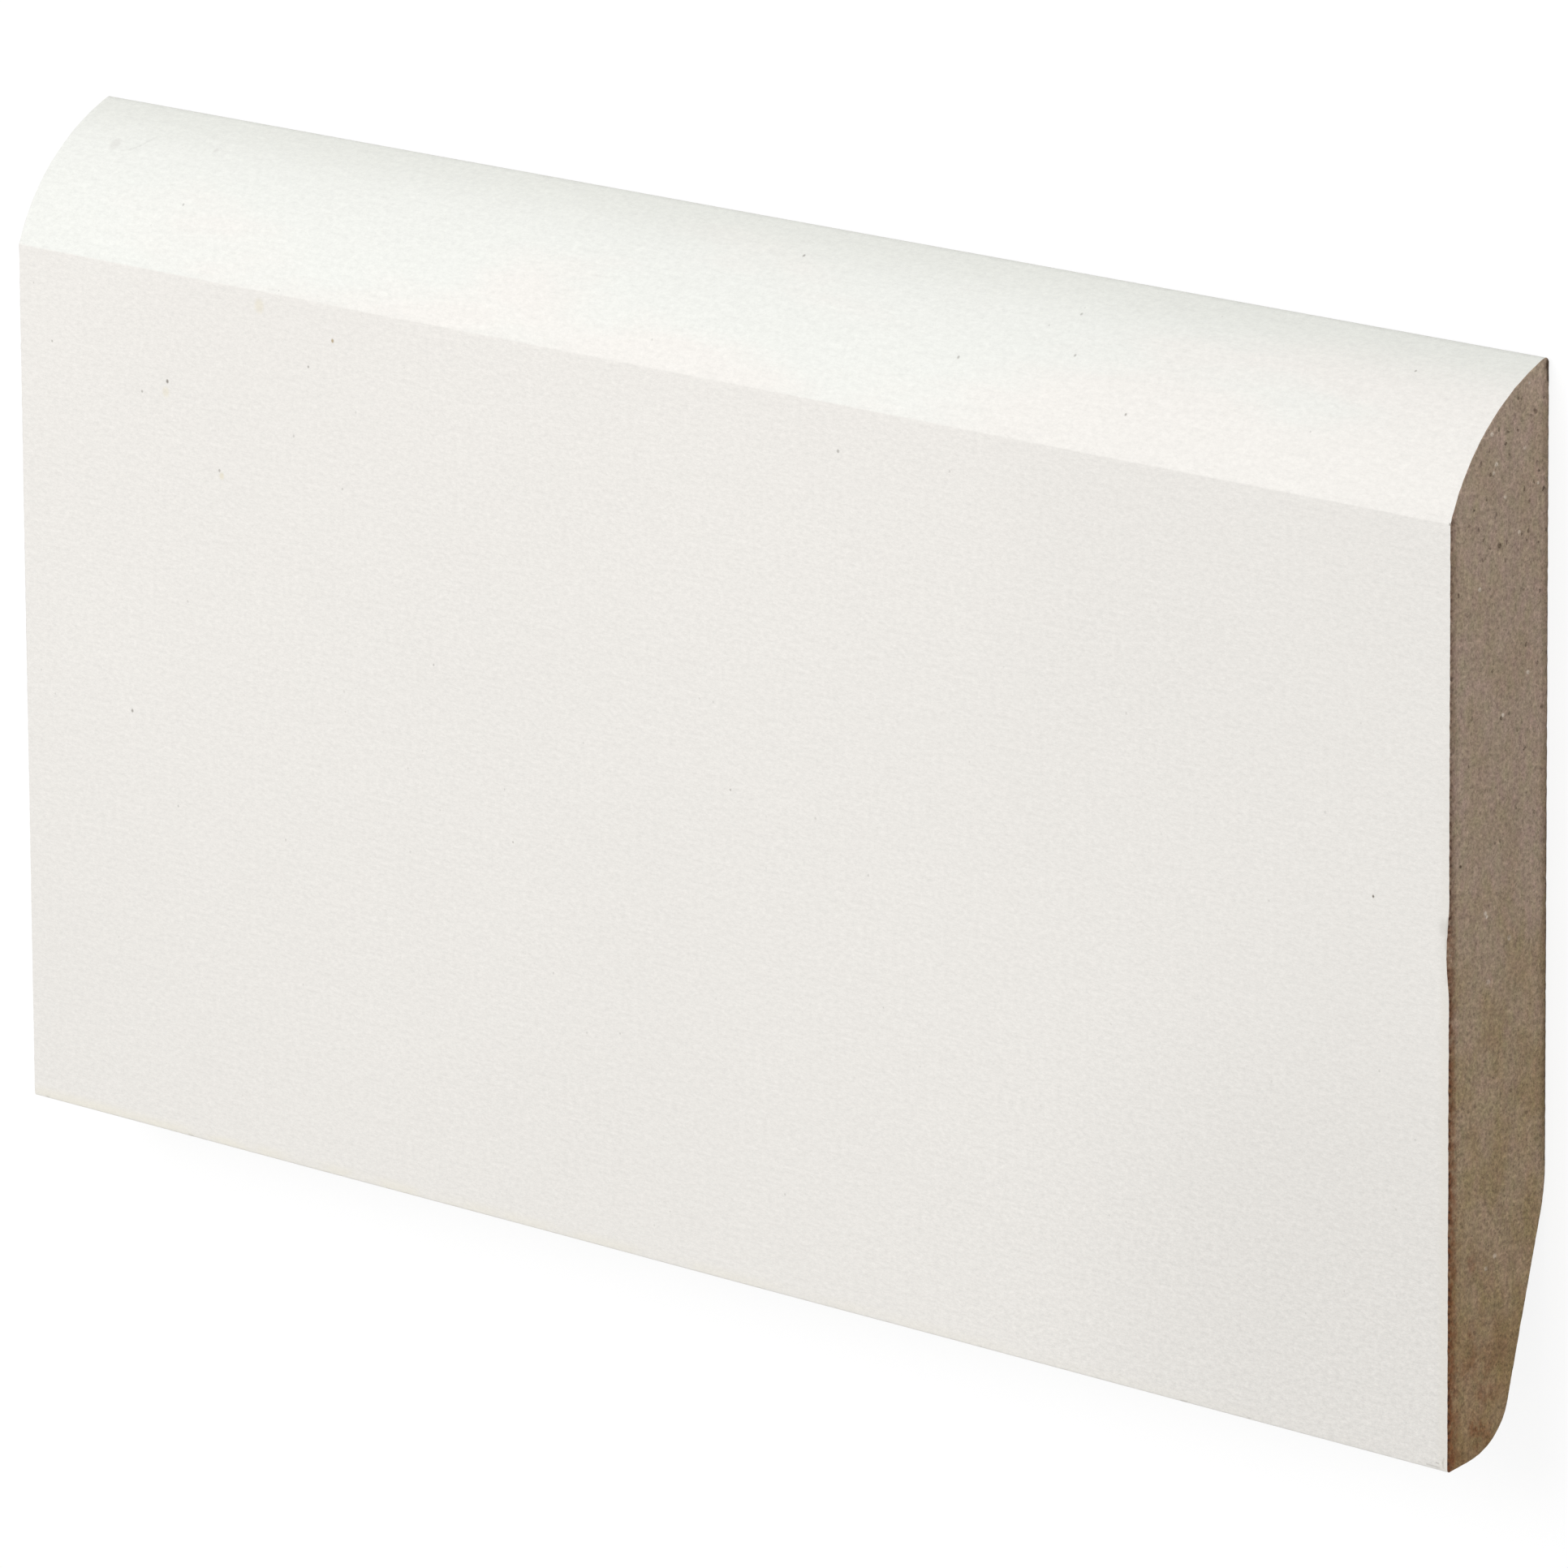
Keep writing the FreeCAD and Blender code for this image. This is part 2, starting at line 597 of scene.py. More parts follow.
# Of these, the one by the bruise at 119.2 along is painted shade in the dent at the bruise's top,
# and the wide faint one low on the right is painted shade
smudges_and_painted_shade = [
    (-111.3, 115.0, 1.2, 0.28),
    (-94.3, 116.1, 0.5, 0.35),
    (119.2, 59.4, 1.3, 0.5),
    (112.0, 4.0, 64.0, 0.23),
]

# Strokes from one place to the next: a scratch on the round, painted shade along the rim of the
# bruise and in the dent by the bottom corner, and scuffs by the bottom corner
strokes = [
    (-109.4, 114.5, -108.2, 114.75, 0.28, 0.06),
    (-108.2, 114.75, -107.0, 115.25, 0.28, 0.07),
    (-107.0, 115.25, -105.6, 116.3, 0.28, 0.08),
    (119.8, 60.3, 119.35, 57.2, 0.5, 0.35),
    (119.35, 57.2, 119.5, 53.6, 0.4, 0.2),
    (119.35, 1.45, 119.2, 1.0, 0.2, 0.45),
    (119.2, 1.0, 119.3, 0.5, 0.2, 0.45),
    (118.2, 0.85, 118.6, 0.8, 0.14, 0.35),
    (116.8, 0.4, 118.7, 0.35, 0.16, 0.3),
]
resin_spots = [
    (-93.0, 88.8, 0.9, 0.35),
    (-75.7, 101.2, 1.2, 0.35),
    (-83.0, 80.2, 0.6, 0.5),
]


def front_depth(height):
    """How far the front stands from the wall at a height above the floor edge."""
    _, big_round, _ = top_corners()
    centre, radius = big_round[:2]
    rise = height - half_height - centre[0]
    if height < 2.0 * half_height - top_round_drop:
        return thickness
    return centre[1] + math.sqrt(radius ** 2 - rise ** 2)


def on_front(along, up):
    """Place on the front of the board, from millimetres along it and above the floor edge."""
    return Vector((along * mm, up * mm - half_height, front_depth(up * mm)))


# Grain of the primer: how large it is along X, Y and Z, and how far it lightens and darkens
warm_patch_size = (50 * mm, 12 * mm, 12 * mm)
cloud_size = (40 * mm, 25 * mm, 25 * mm)
cloud_depth = 0.009
tooth_size = (0.95 * mm, 0.5 * mm, 0.5 * mm)
tooth_depth = 0.085
tooth_more_on_round = -0.012
tooth_relief = 0.05 * mm
hair_size = (6.0 * mm, 0.4 * mm, 0.4 * mm)
hair_depth = 0.012
streak_size = (1.7 * mm, 0.32 * mm, 0.32 * mm)
streak_depth = 0.02
streak_more_on_round = 0.015
streak_relief = 0.01 * mm
dust_size = (2.8 * mm, 2.8 * mm, 2.8 * mm)
dust_depth = 0.3
cream_patch_size = (9 * mm, 3 * mm, 3 * mm)
nick_size = (2.4 * mm, 2 * mm, 2 * mm)

# Ramps over the primed faces: where each starts, where it is full, and its values there if they
# aren't 0 and 1. They are counted along and up from the board's middle, and out from the wall.
round_starts = (crisp_line_height - 0.1 * mm, crisp_line_height + 0.2 * mm)
warmer_along = (10 * mm, half_length, -0.06, 0.14)
warmer_down = (half_height, crisp_line_height, -0.1, 0.06)
shaded_near_back = (7.5 * mm, 1.5 * mm)
shaded_along = (35 * mm, 75 * mm)
shaded_up = (-15 * mm, 10 * mm, 0.1, 1.0)
coarser_along = (20 * mm, half_length, 0.0, 0.08)
coarser_down = (0.0, -half_height)
# The next three place a painted shade line along the top back edge
shade_line_near_back = (1.15 * mm, 0.7 * mm)
shade_line_up = (half_height - 3 * mm, half_height - 1 * mm)
shade_line_along = (-half_length, half_length, 0.04, 0.06)
creamy_along = (-half_length, half_length, 1.0, 0.1)

# The same, counted in from the right end or up from the floor edge
near_end_in = (2.0 * mm, 0.5 * mm)
near_end_down = (95 * mm, 35 * mm, 0.0, 0.65)
creamy_down = (1.8 * mm, 0.4 * mm, 0.0, 0.6)
painted_light_down = (0.45 * mm, 0.15 * mm, 0.0, 0.2)
nicked_down = (0.45 * mm, 0.1 * mm, 0.0, 0.5)

# Ramps over the values of a noise, in the same form
warm_patch_ramp = (0.4, 0.62)
streak_ramp = (0.44, 0.3)
cream_patch_ramp = (0.35, 0.6, 0.2, 1.0)

# Gloss of the primer: the range of its roughness, and its specular level
primer_roughness = (0.5, 0.64)
primer_specular = 0.35


def primer_whites(finish, above_line):
    """Warm white face with painted shade high on the right, and a cooler round with warm patches,
    painted lighter than the face and with painted shade towards its top back edge.
    """
    patches = finish.grain(warm_patch_size, detail=3.0)
    warmer_right = finish.fade(finish.x, *warmer_along)
    warmer_low = finish.fade(finish.y, *warmer_down)
    warmth = finish.calculate("ADD", patches, finish.calculate("ADD", warmer_right, warmer_low))
    round_colour = finish.blend(finish.fade(warmth, *warm_patch_ramp), round_white, warm_white)
    # Painted shade darkens the round towards its top back edge
    near_back = finish.fade(finish.z, *shaded_near_back)
    round_colour = finish.blend(near_back, round_colour, shaded_round_white)
    # Painted shade on the face high on the right, where the light falls off
    shaded_right = finish.fade(finish.x, *shaded_along)
    shaded_high = finish.fade(finish.y, *shaded_up)
    shaded = finish.product(shaded_right, shaded_high)
    face_colour = finish.blend(shaded, face_white, face_shade)
    return finish.blend(above_line, face_colour, round_colour)


def primer_grain(finish, colour, above_line):
    """The colour with its clouds, tooth and streaks, and the heights of the last two."""
    clouds = finish.grain(cloud_size, detail=3.0)
    colour = finish.vary(colour, clouds, cloud_depth)
    tooth = finish.grain(tooth_size, detail=3.0, roughness=0.9)
    coarser_right = finish.fade(finish.x, *coarser_along)
    coarser_low = finish.fade(finish.y, *coarser_down)
    depth = finish.calculate("MULTIPLY_ADD", coarser_right, coarser_low, tooth_depth)
    depth = finish.calculate("MULTIPLY_ADD", above_line, tooth_more_on_round, depth)
    colour = finish.vary(colour, tooth, depth)
    hairs = finish.grain(hair_size, detail=1.0)
    colour = finish.vary(colour, hairs, hair_depth)
    streaks = finish.grain(streak_size, detail=2.0, roughness=0.7)
    depth = finish.calculate("MULTIPLY_ADD", above_line, streak_more_on_round, streak_depth)
    dark_streaks = finish.product(finish.fade(streaks, *streak_ramp), depth)
    return finish.blend(dark_streaks, colour, fleck_and_shade_grey), tooth, streaks


def primer_marks(finish, colour):
    """Dust under the paint, and the single marks listed above, among them painted shade by the
    bruise, in the dent and low on the right.
    """
    dust = finish.dots(dust_size, radius=0.07, share=0.2, ragged=0.02)
    colour = finish.blend(finish.product(dust, dust_depth), colour, fleck_and_shade_grey)
    for marks, mark_colour in (
        (resin_spots, resin_yellow),
        (smudges_and_painted_shade, smudge_and_shade_grey),
        (flecks, fleck_and_shade_grey),
        (brown_flecks, fleck_brown),
    ):
        for along, up, radius, strength in marks:
            spot = finish.spot(on_front(along, up), radius * mm, strength)
            colour = finish.blend(spot, colour, mark_colour)
    # Some strokes are painted shade: along the bruise's rim and in the dent
    for along, up, next_along, next_up, width, strength in strokes:
        ends = on_front(along, up), on_front(next_along, next_up)
        colour = finish.blend(finish.stroke(*ends, width * mm, strength), colour, fleck_and_shade_grey)
    return colour


def primer_edges(finish, colour):
    """A painted shade line along the top back edge, a darker and yellower band by the right end, and
    a creamy, nicked floor edge with painted light along its very rim.
    """
    # Painted shade: a faint dark line along the top back edge
    shade_line = finish.product(
        finish.fade(finish.z, *shade_line_near_back),
        finish.fade(finish.y, *shade_line_up),
        finish.fade(finish.x, *shade_line_along),
    )
    colour = finish.blend(shade_line, colour, fleck_and_shade_grey)

    from_floor = finish.calculate("ADD", finish.y, half_height)
    from_end = finish.calculate("SUBTRACT", half_length, finish.x)
    # Darker and yellower towards the right end, more so low down
    near_end_tone = finish.product(
        finish.fade(from_end, *near_end_in), finish.fade(from_floor, *near_end_down)
    )
    colour = finish.blend(near_end_tone, colour, near_end_cream)

    cream = finish.product(
        finish.fade(from_floor, *creamy_down),
        finish.fade(finish.grain(cream_patch_size), *cream_patch_ramp),
        finish.fade(finish.x, *creamy_along),
    )
    colour = finish.blend(cream, colour, edge_cream)
    # Painted light along the rim of the floor edge, where its rounding faces away from the light
    painted_light_edge = finish.fade(from_floor, *painted_light_down)
    colour = finish.blend(painted_light_edge, colour, painted_light_white)
    nicks = finish.dots(nick_size, radius=0.3, share=0.4, ragged=0.15)
    at_floor = finish.fade(from_floor, *nicked_down)
    return finish.blend(finish.product(nicks, at_floor), colour, fleck_and_shade_grey)


def primer():
    """Factory primer: matt, finely grained, with short streaks along the machined round."""
    finish = Finish("primer")
    above_line = finish.fade(finish.y, *round_starts)
    colour = primer_whites(finish, above_line)
    colour, tooth, streaks = primer_grain(finish, colour, above_line)
    colour = primer_marks(finish, colour)
    colour = primer_edges(finish, colour)
    finish.feed(finish.shader.inputs["Base Color"], colour)

    finish.feed(finish.shader.inputs["Roughness"], finish.spread(tooth, *primer_roughness))
    finish.shader.inputs["Specular IOR Level"].default_value = primer_specular
    skin = finish.bump(tooth, tooth_relief)
    skin = finish.bump(streaks, streak_relief, skin)
    finish.feed(finish.shader.inputs["Normal"], skin)
    return finish.material


# Raw fibreboard, greyer at the top of the end and browner towards the floor
top_brown = paint(177, 157, 138)
middle_brown = paint(170, 149, 123)
floor_brown = paint(159, 134, 102)

# Tints, which the colour under them is multiplied by
olive_tint = (0.9, 0.88, 0.77, 1.0)
rosy_tint = (1.04, 0.99, 1.07, 1.0)
green_tint = (0.96, 1.01, 0.95, 1.0)
# Painted light, which makes the end lighter near the back
painted_light_tint = (1.14, 1.14, 1.16, 1.0)

# Skins and marks of the raw board
skin_grey_brown = paint(118, 92, 76)
skin_red_brown = paint(124, 78, 49)
saw_tooth_brown = paint(78, 52, 40)
back_skin_brown = paint(112, 92, 62)
smear_brown = paint(134, 92, 62)
light_fibre = paint(228, 212, 194)
bright_fibre = paint(244, 232, 216)
dark_pit = paint(78, 62, 48)

# Marks of the saw's teeth on a skin: how far apart, and how far its grain moves them, in radians
# of their wave
saw_tooth_pitch = 0.92 * mm
saw_tooth_wander = 12.0

# Grain of the raw board, in the same form
olive_patch_size = (6 * mm, 8 * mm, 4 * mm)
layer_size = (5 * mm, 7 * mm, 0.5 * mm)
layer_depth = 0.06
mottle_size = (1.5 * mm, 2.4 * mm, 1.1 * mm)
core_cloud_size = (3 * mm, 3.5 * mm, 2 * mm)
smear_size = (4 * mm, 5 * mm, 3 * mm)
smear_shape_size = (1.6 * mm, 1.9 * mm, 1.3 * mm)
smear_strength = 0.4
front_skin_size = (0.8 * mm, 1.6 * mm, 0.8 * mm)
back_skin_size = (0.7 * mm, 1.4 * mm, 0.7 * mm)
blotch_size = (1.0 * mm, 0.9 * mm, 0.7 * mm)
felt_size = (0.55 * mm, 0.6 * mm, 0.55 * mm)
felt_relief = 0.22 * mm
fibre_size = (0.25 * mm, 0.35 * mm, 0.25 * mm)
fibre_depth = 0.18
fibre_relief = 0.1 * mm
shive_size = (0.45 * mm, 0.8 * mm, 0.45 * mm)
shive_depth = 0.95
clump_size = (5 * mm, 6 * mm, 3 * mm)
pit_size = (0.6 * mm, 0.7 * mm, 0.45 * mm)
pit_depth = 0.65
speck_relief = 0.2 * mm

# Ramps over the raw board, in the same form, counted up from the floor edge
floor_to_middle = (0.0, 34 * mm)
middle_to_top = (38 * mm, 72 * mm)
olive_down = (75 * mm, 40 * mm, 0.4, 1.0)
clouded_down = (60 * mm, 20 * mm, 0.03, 0.09)
smeared_down = (36 * mm, 6 * mm)
skin_wider_down = (55 * mm, 15 * mm, 1.8 * mm, 2.4 * mm)
skin_redder_down = (70 * mm, 35 * mm)
front_skin_down = (78 * mm, 54 * mm, 0.6, 0.92)
front_teeth_down = (95 * mm, 50 * mm, 0.5, 0.95)
back_skin_up = (bevel_height, bevel_height + 6 * mm)
back_skin_down = (85 * mm, 60 * mm, 0.3, 0.55)
back_teeth_down = (95 * mm, 60 * mm, 0.3, 0.6)
felt_depth_down = (60 * mm, 35 * mm, 0.31, 0.38)
pits_up = (60 * mm, 90 * mm, 0.38, 1.0)

# The same, counted out from the wall, and the last one in from the front
painted_light_near_back = (6 * mm, 0.3 * mm)
smeared_near_front = (3 * mm, 12 * mm, 0.4, 1.0)
teeth_near_back = (0.35 * mm, 0.1 * mm)
teeth_near_front = (0.4 * mm, 0.12 * mm)

# The same, over the values of a noise, and the last one over the wave of the saw's teeth
olive_patch_ramp = (0.4, 0.64)
smear_ramp = (0.48, 0.7)
smear_shape_ramp = (0.36, 0.66)
blotch_ramp = (0.3, 0.6, 0.5, 1.0)
clump_ramp = (0.4, 0.6, 0.2, 1.0)
mark_ramp = (0.35, 0.6, 0.5, 1.0)
saw_tooth_ramp = (-0.2, 0.9, 0.2, 1.0)

# Range of each skin's width, the front one's as a share of its widest, and where both are darkest
front_skin_range = (0.45, 1.1)
back_skin_range = (0.8 * mm, 2.0 * mm)
darkest_skin = 0.1 * mm

# Gloss of the raw board, in the same form as the primer's
board_roughness = (0.82, 0.95)
board_specular = 0.15

# Marks on the right end: height above the floor edge, distance from the wall, radius, strength
pale_marks = [
    (111.8, 8.5, 0.34, 0.75),
    (108.5, 7.8, 0.34, 0.85),
    (107.6, 8.2, 0.3, 0.7),
    (104.8, 6.5, 0.28, 0.6),
    (60.3, 9.2, 0.35, 0.6),
    (59.9, 9.0, 0.3, 0.7),
    (57.1, 5.6, 0.4, 0.4),
    (52.8, 8.7, 0.4, 0.35),
    (22.7, 7.6, 0.4, 0.4),
    (21.5, 8.9, 0.35, 0.4),
    (116.6, 3.0, 0.25, 0.4),
    (109.7, 3.6, 0.28, 0.6),
    (105.7, 1.6, 0.28, 0.65),
    (100.8, 4.4, 0.3, 0.7),
    (95.4, 10.2, 0.32, 0.75),
    (85.5, 3.0, 0.33, 0.8),
    (81.4, 6.7, 0.32, 0.8),
]
dark_marks = [
    (99.7, 7.3, 0.45, 0.9),
    (107.5, 8.7, 0.35, 0.8),
    (65.9, 12.9, 0.3, 0.9),
    (81.5, 0.9, 0.35, 0.8),
    (113.4, 2.0, 0.4, 0.6),
    (118.1, 0.25, 0.7, 0.9),
    (113.6, 2.2, 0.3, 0.7),
    (109.3, 5.9, 0.25, 0.6),
    (103.9, 2.9, 0.3, 0.7),
    (101.3, 7.8, 0.25, 0.6),
    (99.3, 1.5, 0.25, 0.7),
    (94.5, 3.7, 0.25, 0.6),
    (40.4, 5.3, 0.35, 0.7),
    (39.5, 10.6, 0.3, 0.6),
    (37.6, 2.9, 0.35, 0.6),
]
smear_marks = [
    (22.5, 11.0, 1.4, 0.5),
    (15.0, 10.8, 1.4, 0.6),
    (12.5, 11.3, 1.8, 0.45),
    (10.5, 10.0, 3.2, 0.4),
    (8.0, 8.6, 2.6, 0.55),
    (4.2, 10.4, 1.5, 0.9),
    (3.0, 9.3, 2.8, 0.6),
    (1.2, 13.2, 1.8, 0.7),
]

# A dark scuff down the top back corner, from one such place to another, its width and strength
corner_scuff = (118.6, 0.15, 116.6, 0.1, 0.45, 0.85)


def on_right_end(up, out):
    """Place on the right end, from millimetres above the floor edge and out of the wall."""
    return Vector((half_length, up * mm - half_height, out * mm))


def board_core(finish, from_floor):
    """The board's colour: browner and in stronger patches towards the floor, with painted light near
    the back, where the floor it lies on shades it.
    """
    lower = finish.fade(from_floor, *floor_to_middle)
    upper = finish.fade(from_floor, *middle_to_top)
    colour = finish.blend(lower, floor_brown, middle_brown)
    colour = finish.blend(upper, colour, top_brown)
    patches = finish.grain(olive_patch_size, detail=3.0)
    patch_depth = finish.fade(from_floor, *olive_down)
    olive = finish.product(finish.fade(patches, *olive_patch_ramp), patch_depth)
    colour = finish.blend(olive, colour, finish.blend(1.0, colour, olive_tint, "MULTIPLY"))
    layers = finish.grain(layer_size, detail=2.0)
    colour = finish.vary(colour, layers, layer_depth)
    mottle = finish.grain(mottle_size, detail=1.0)
    tint = finish.blend(finish.spread(mottle, 0.0, 1.0), rosy_tint, green_tint)
    colour = finish.blend(1.0, colour, tint, "MULTIPLY")
    clouds = finish.grain(core_cloud_size, detail=2.0)
    colour = finish.vary(colour, clouds, finish.fade(from_floor, *clouded_down))
    # Painted light: lighter near the back, against the shade from the floor
    near_back = finish.fade(finish.z, *painted_light_near_back)
    return finish.blend(near_back, colour, finish.blend(1.0, colour, painted_light_tint, "MULTIPLY"))


def smeared(finish, colour, from_floor):
    """Reddish brown smears of the lowest third, soft and blotchy."""
    low_end = finish.fade(from_floor, *smeared_down)
    low_front = finish.product(low_end, finish.fade(finish.z, *smeared_near_front))
    smears = finish.fade(finish.grain(smear_size, detail=4.0), *smear_ramp)
    colour = finish.blend(finish.product(smears, low_front, smear_strength), colour, smear_brown)
    shape = finish.grain(smear_shape_size, detail=4.0, roughness=0.7)
    shape = finish.fade(shape, *smear_shape_ramp)
    for up, out, radius, strength in smear_marks:
        spot = finish.spot(on_right_end(up, out), radius * mm, strength)
        colour = finish.blend(finish.product(spot, shape), colour, smear_brown)
    return colour


def front_skin(finish, colour, from_floor):
    """The dense skin under the face: a blotchy brown band, redder and wider near the floor."""
    from_front = finish.calculate("SUBTRACT", thickness, finish.z)
    ragged = finish.grain(front_skin_size, detail=3.0)
    widest = finish.fade(from_floor, *skin_wider_down)
    reach = finish.product(finish.spread(ragged, *front_skin_range), widest)
    blotches = finish.fade(finish.grain(blotch_size, detail=2.0), *blotch_ramp)
    band = finish.product(
        finish.fade(from_front, reach, darkest_skin),
        blotches,
        finish.fade(from_floor, *front_skin_down),
    )
    low = finish.fade(from_floor, *skin_redder_down)
    colour = finish.blend(band, colour, finish.blend(low, skin_grey_brown, skin_red_brown))
    teeth = finish.product(
        saw_teeth(finish, ragged),
        finish.fade(from_front, *teeth_near_front),
        finish.fade(from_floor, *front_teeth_down),
        blotches,
    )
    return finish.blend(teeth, colour, saw_tooth_brown)


def back_skin(finish, colour, from_floor):
    """The same skin along the back, narrower and fainter, and gone where the bevel cuts it off."""
    ragged = finish.grain(back_skin_size, detail=3.0)
    band = finish.product(
        finish.fade(finish.z, finish.spread(ragged, *back_skin_range), darkest_skin),
        finish.fade(from_floor, *back_skin_up),
        finish.fade(from_floor, *back_skin_down),
    )
    colour = finish.blend(band, colour, back_skin_brown)
    teeth = finish.product(
        saw_teeth(finish, ragged),
        finish.fade(finish.z, *teeth_near_back),
        finish.fade(from_floor, *back_teeth_down),
    )
    return finish.blend(teeth, colour, saw_tooth_brown)


def saw_teeth(finish, ragged):
    """Marks of the saw's teeth along a skin, 0 to 1, a tooth apart."""
    turns = finish.calculate("MULTIPLY", finish.y, 2.0 * math.pi / saw_tooth_pitch)
    turns = finish.calculate("ADD", turns, finish.product(ragged, saw_tooth_wander))
    return finish.fade(finish.calculate("SINE", turns), *saw_tooth_ramp)


def speckled(finish, colour, from_floor):
    """The colour with pale shives in clumps and dark pits, and the height of both."""
    shives = finish.dots(shive_size, radius=0.36, share=0.1, ragged=0.12)
    clumps = finish.fade(finish.grain(clump_size), *clump_ramp)
    shives = finish.product(shives, clumps)
    colour = finish.blend(finish.product(shives, shive_depth), colour, light_fibre)
    pits = finish.dots(pit_size, radius=0.34, share=0.036, ragged=0.3)
    pits = finish.product(pits, finish.fade(from_floor, *pits_up))
    colour = finish.blend(finish.product(pits, pit_depth), colour, dark_pit)
    return colour, finish.calculate("SUBTRACT", shives, pits)


def end_marks(finish, colour, fibres):
    """The single marks of the right end, broken up by its fibres, and the scuffed corner."""
    for marks, mark_colour in ((pale_marks, bright_fibre), (dark_marks, dark_pit)):
        for up, out, radius, strength in marks:
            spot = finish.spot(on_right_end(up, out), radius * mm, strength)
            broken = finish.product(spot, finish.fade(fibres, *mark_ramp))
            colour = finish.blend(broken, colour, mark_colour)
    up, out, next_up, next_out, width, strength = corner_scuff
    ends = on_right_end(up, out), on_right_end(next_up, next_out)
    return finish.blend(finish.stroke(*ends, width * mm, strength), colour, dark_pit)


def raw_board():
    """Sawn fibreboard: felted fibres, pale shives, dark pits and denser skins."""
    finish = Finish("raw_fibreboard")
    from_floor = finish.calculate("ADD", finish.y, half_height)
    colour = board_core(finish, from_floor)
    colour = smeared(finish, colour, from_floor)
    colour = front_skin(finish, colour, from_floor)
    colour = back_skin(finish, colour, from_floor)
    felt = finish.grain(felt_size, detail=2.0, roughness=0.8)
    felt_depth = finish.fade(from_floor, *felt_depth_down)
    colour = finish.vary(colour, felt, felt_depth)
    fibres = finish.grain(fibre_size, detail=1.0, roughness=0.8)
    colour = finish.vary(colour, fibres, fibre_depth)
    colour, specks = speckled(finish, colour, from_floor)
    colour = end_marks(finish, colour, fibres)
    finish.feed(finish.shader.inputs["Base Color"], colour)

    finish.feed(finish.shader.inputs["Roughness"], finish.spread(felt, *board_roughness))
    finish.shader.inputs["Specular IOR Level"].default_value = board_specular
    fuzz = finish.bump(felt, felt_relief)
    fuzz = finish.bump(fibres, fibre_relief, fuzz)
    fuzz = finish.bump(specks, speck_relief, fuzz)
    finish.feed(finish.shader.inputs["Normal"], fuzz)
    return finish.material


def dress_board():
    """Puts the detailed board in the place of the plain solid."""
    mesh = board_mesh()
    close_and_smooth(mesh)
    mesh.materials.append(primer())
    mesh.materials.append(raw_board())
    board = bpy.data.objects.new("dressed_board", mesh)
    bpy.context.scene.collection.objects.link(board)
    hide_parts(node)
    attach(board, "root")


# Light: an even pale room, a large soft lamp above the top edge to the left, and a weaker one far
# to the right
room_strength = 0.55
seen_white = 1.0
key_place = Vector((-0.20, 0.36, 0.80))
key_size = 0.7
key_power = 4.4
fill_place = Vector((1.3, 0.1, 0.75))
fill_size = 0.8
fill_power = 1.6

# Floor: what it sends back to the board, and what the camera sees of it
floor_bounce = 0.7
floor_shade = 0.18
floor_glow = 0.85
floor_gap = 0.05 * mm
floor_half_size = 4.0


def for_seen_rays(tree, seen, unseen):
    """One value for rays that show the background, and another for all the rest."""
    path = tree.nodes.new("ShaderNodeLightPath")
    total = path.outputs["Is Camera Ray"]
    for name in ("Is Glossy Ray", "Is Transmission Ray"):
        either = tree.nodes.new("ShaderNodeMath")
        either.operation = "MAXIMUM"
        tree.links.new(total, either.inputs[0])
        tree.links.new(path.outputs[name], either.inputs[1])
        total = either.outputs[0]
    chosen = tree.nodes.new("ShaderNodeMapRange")
    tree.links.new(total, chosen.inputs["Value"])
    chosen.inputs["To Min"].default_value = unseen
    chosen.inputs["To Max"].default_value = seen
    return chosen.outputs[0]


def room():
    """An even white room, which is seen as pure white."""
    world = bpy.data.worlds.new("pale_room")
    bpy.context.scene.world = world
    world.use_nodes = True
    tree = world.node_tree
    background = tree.nodes["Background"]
    background.inputs["Color"].default_value = (1.0, 1.0, 1.0, 1.0)
    strength = for_seen_rays(tree, seen_white, room_strength)
    tree.links.new(strength, background.inputs["Strength"])


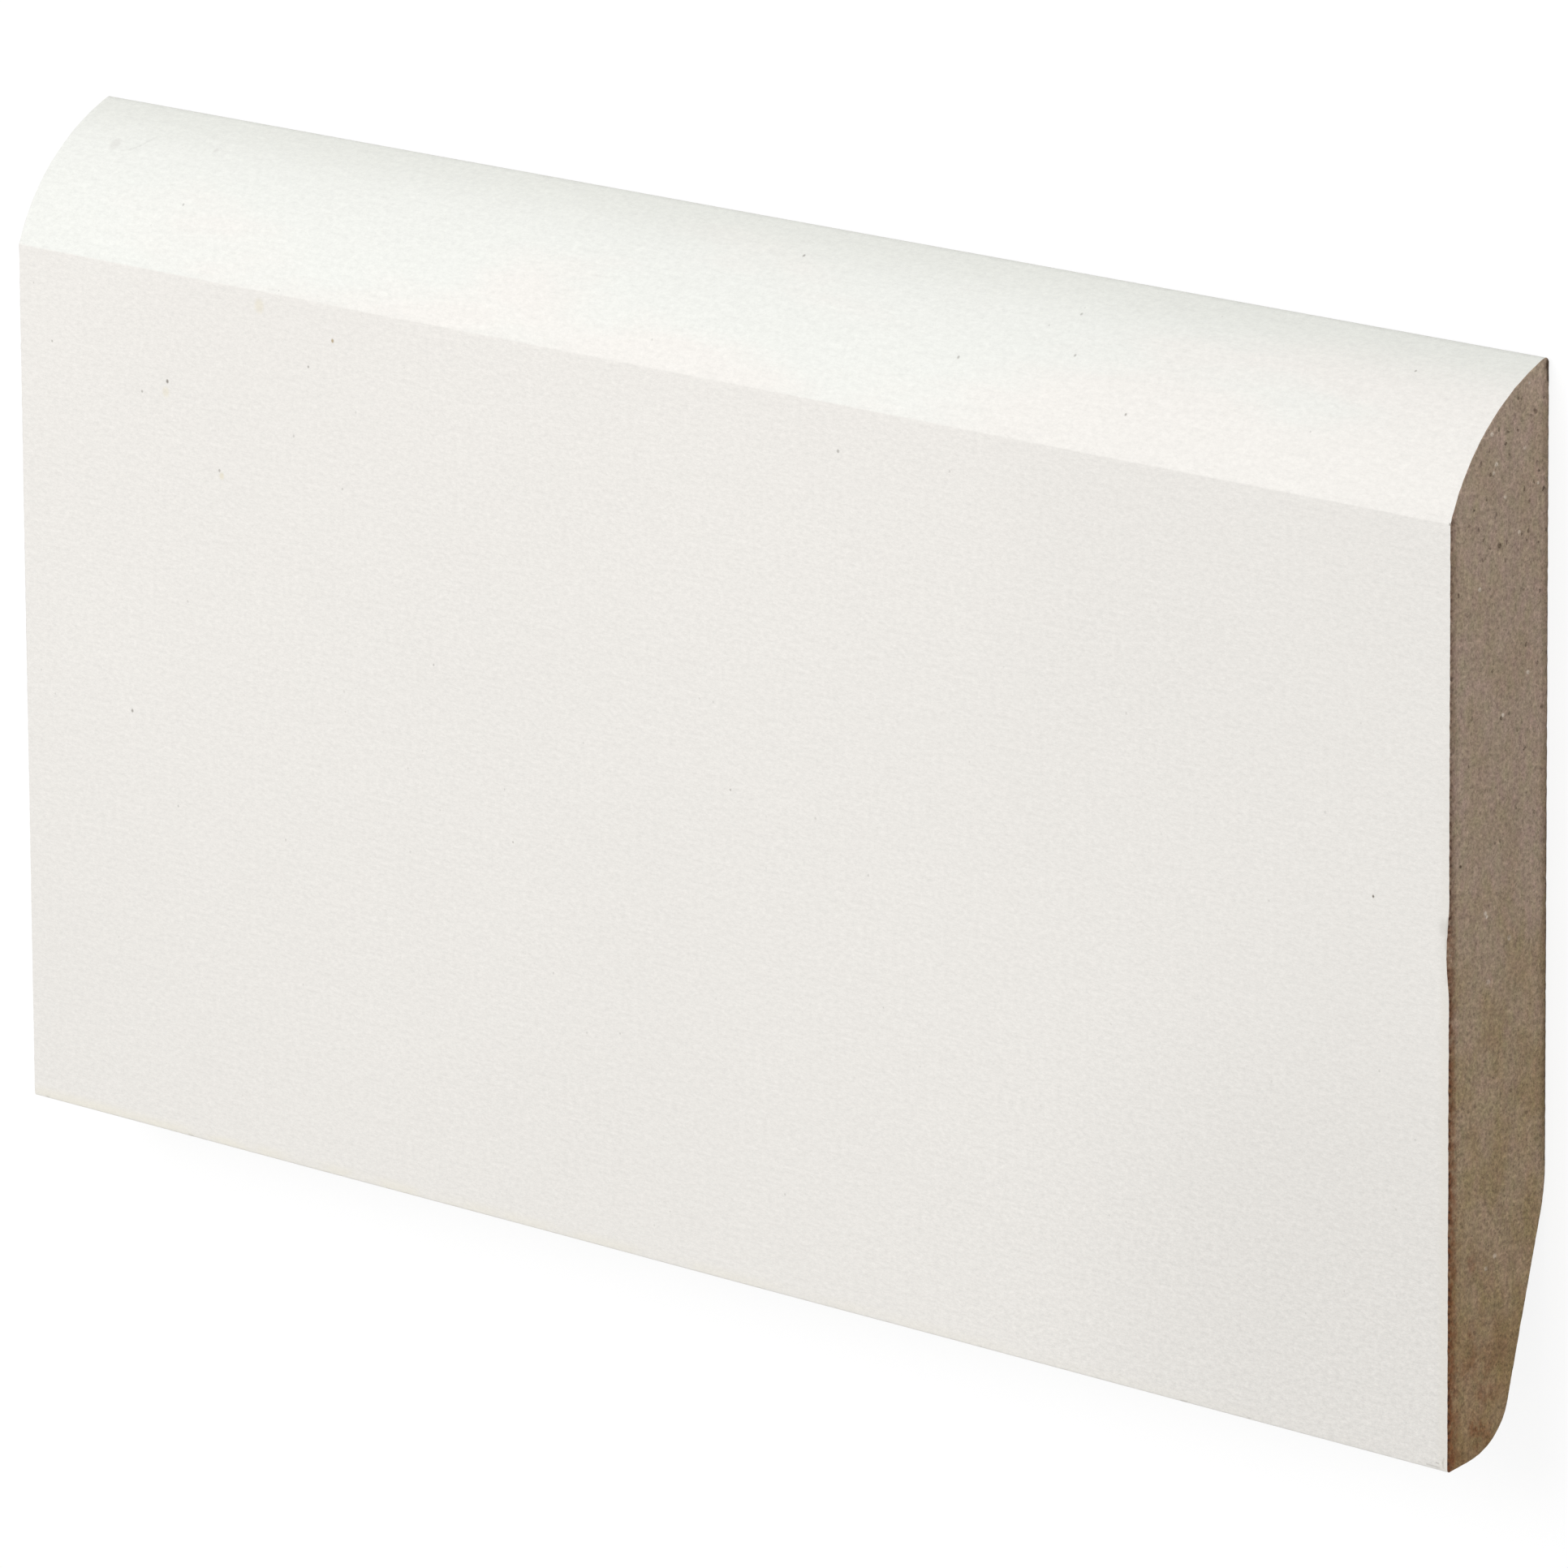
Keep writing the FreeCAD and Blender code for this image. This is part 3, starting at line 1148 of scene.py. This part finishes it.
def pale_floor():
    """A pale floor, which is seen as nearly white and keeps the board's shadow."""
    material = bpy.data.materials.new("pale_floor")
    material.use_nodes = True
    tree = material.node_tree
    tree.nodes.clear()
    output = tree.nodes.new("ShaderNodeOutputMaterial")
    both = tree.nodes.new("ShaderNodeAddShader")
    diffuse = tree.nodes.new("ShaderNodeBsdfDiffuse")
    tree.links.new(for_seen_rays(tree, floor_shade, floor_bounce), diffuse.inputs["Color"])
    glow = tree.nodes.new("ShaderNodeEmission")
    tree.links.new(for_seen_rays(tree, floor_glow, 0.0), glow.inputs["Strength"])
    tree.links.new(diffuse.outputs[0], both.inputs[0])
    tree.links.new(glow.outputs[0], both.inputs[1])
    tree.links.new(both.outputs[0], output.inputs["Surface"])

    mesh = bpy.data.meshes.new("floor")
    reach = floor_half_size
    corners = [(-reach, -reach), (reach, -reach), (reach, reach), (-reach, reach)]
    mesh.from_pydata([(x, y, -floor_gap) for x, y in corners], [], [(0, 1, 2, 3)])
    mesh.materials.append(material)
    floor = bpy.data.objects.new("floor", mesh)
    bpy.context.scene.collection.objects.link(floor)


def soft_lamp(name, place, size, power):
    """Square soft lamp that faces the board."""
    light = bpy.data.lights.new(name, "AREA")
    light.size = size
    light.energy = power
    lamp = bpy.data.objects.new(name, light)
    lamp.location = place
    lamp.rotation_euler = (-place).to_track_quat("-Z", "Y").to_euler()
    bpy.context.scene.collection.objects.link(lamp)


# Camera: how far it stands to the right of straight on, above the board's middle and askew
camera_right = 48.22
camera_above = 12.09
camera_askew = -0.4
camera_distance = 1.5332
camera_aim = Vector((8.47, -2.49, 9.0)) * mm
picture_width = 1932.0
focal_length_in_pixels = 16890.0
sensor_width = 36.0


def camera():
    """A camera with a long lens, placed by its angles around the point that it aims at."""
    data = bpy.data.cameras.new("camera")
    data.sensor_width = sensor_width
    data.lens = focal_length_in_pixels / picture_width * sensor_width
    turn = Matrix.Rotation(math.radians(camera_right), 4, "Y")
    turn = turn @ Matrix.Rotation(math.radians(-camera_above), 4, "X")
    turn = turn @ Matrix.Rotation(math.radians(camera_askew), 4, "Z")
    placed = bpy.data.objects.new("camera", data)
    backwards = turn.to_3x3() @ Vector((0.0, 0.0, camera_distance))
    placed.matrix_world = Matrix.Translation(camera_aim + backwards) @ turn
    bpy.context.scene.collection.objects.link(placed)
    bpy.context.scene.camera = placed


dress_board()
pale_floor()
room()
soft_lamp("key", key_place, key_size, key_power)
soft_lamp("fill", fill_place, fill_size, fill_power)
camera()
bpy.context.scene.view_settings.view_transform = "Standard"
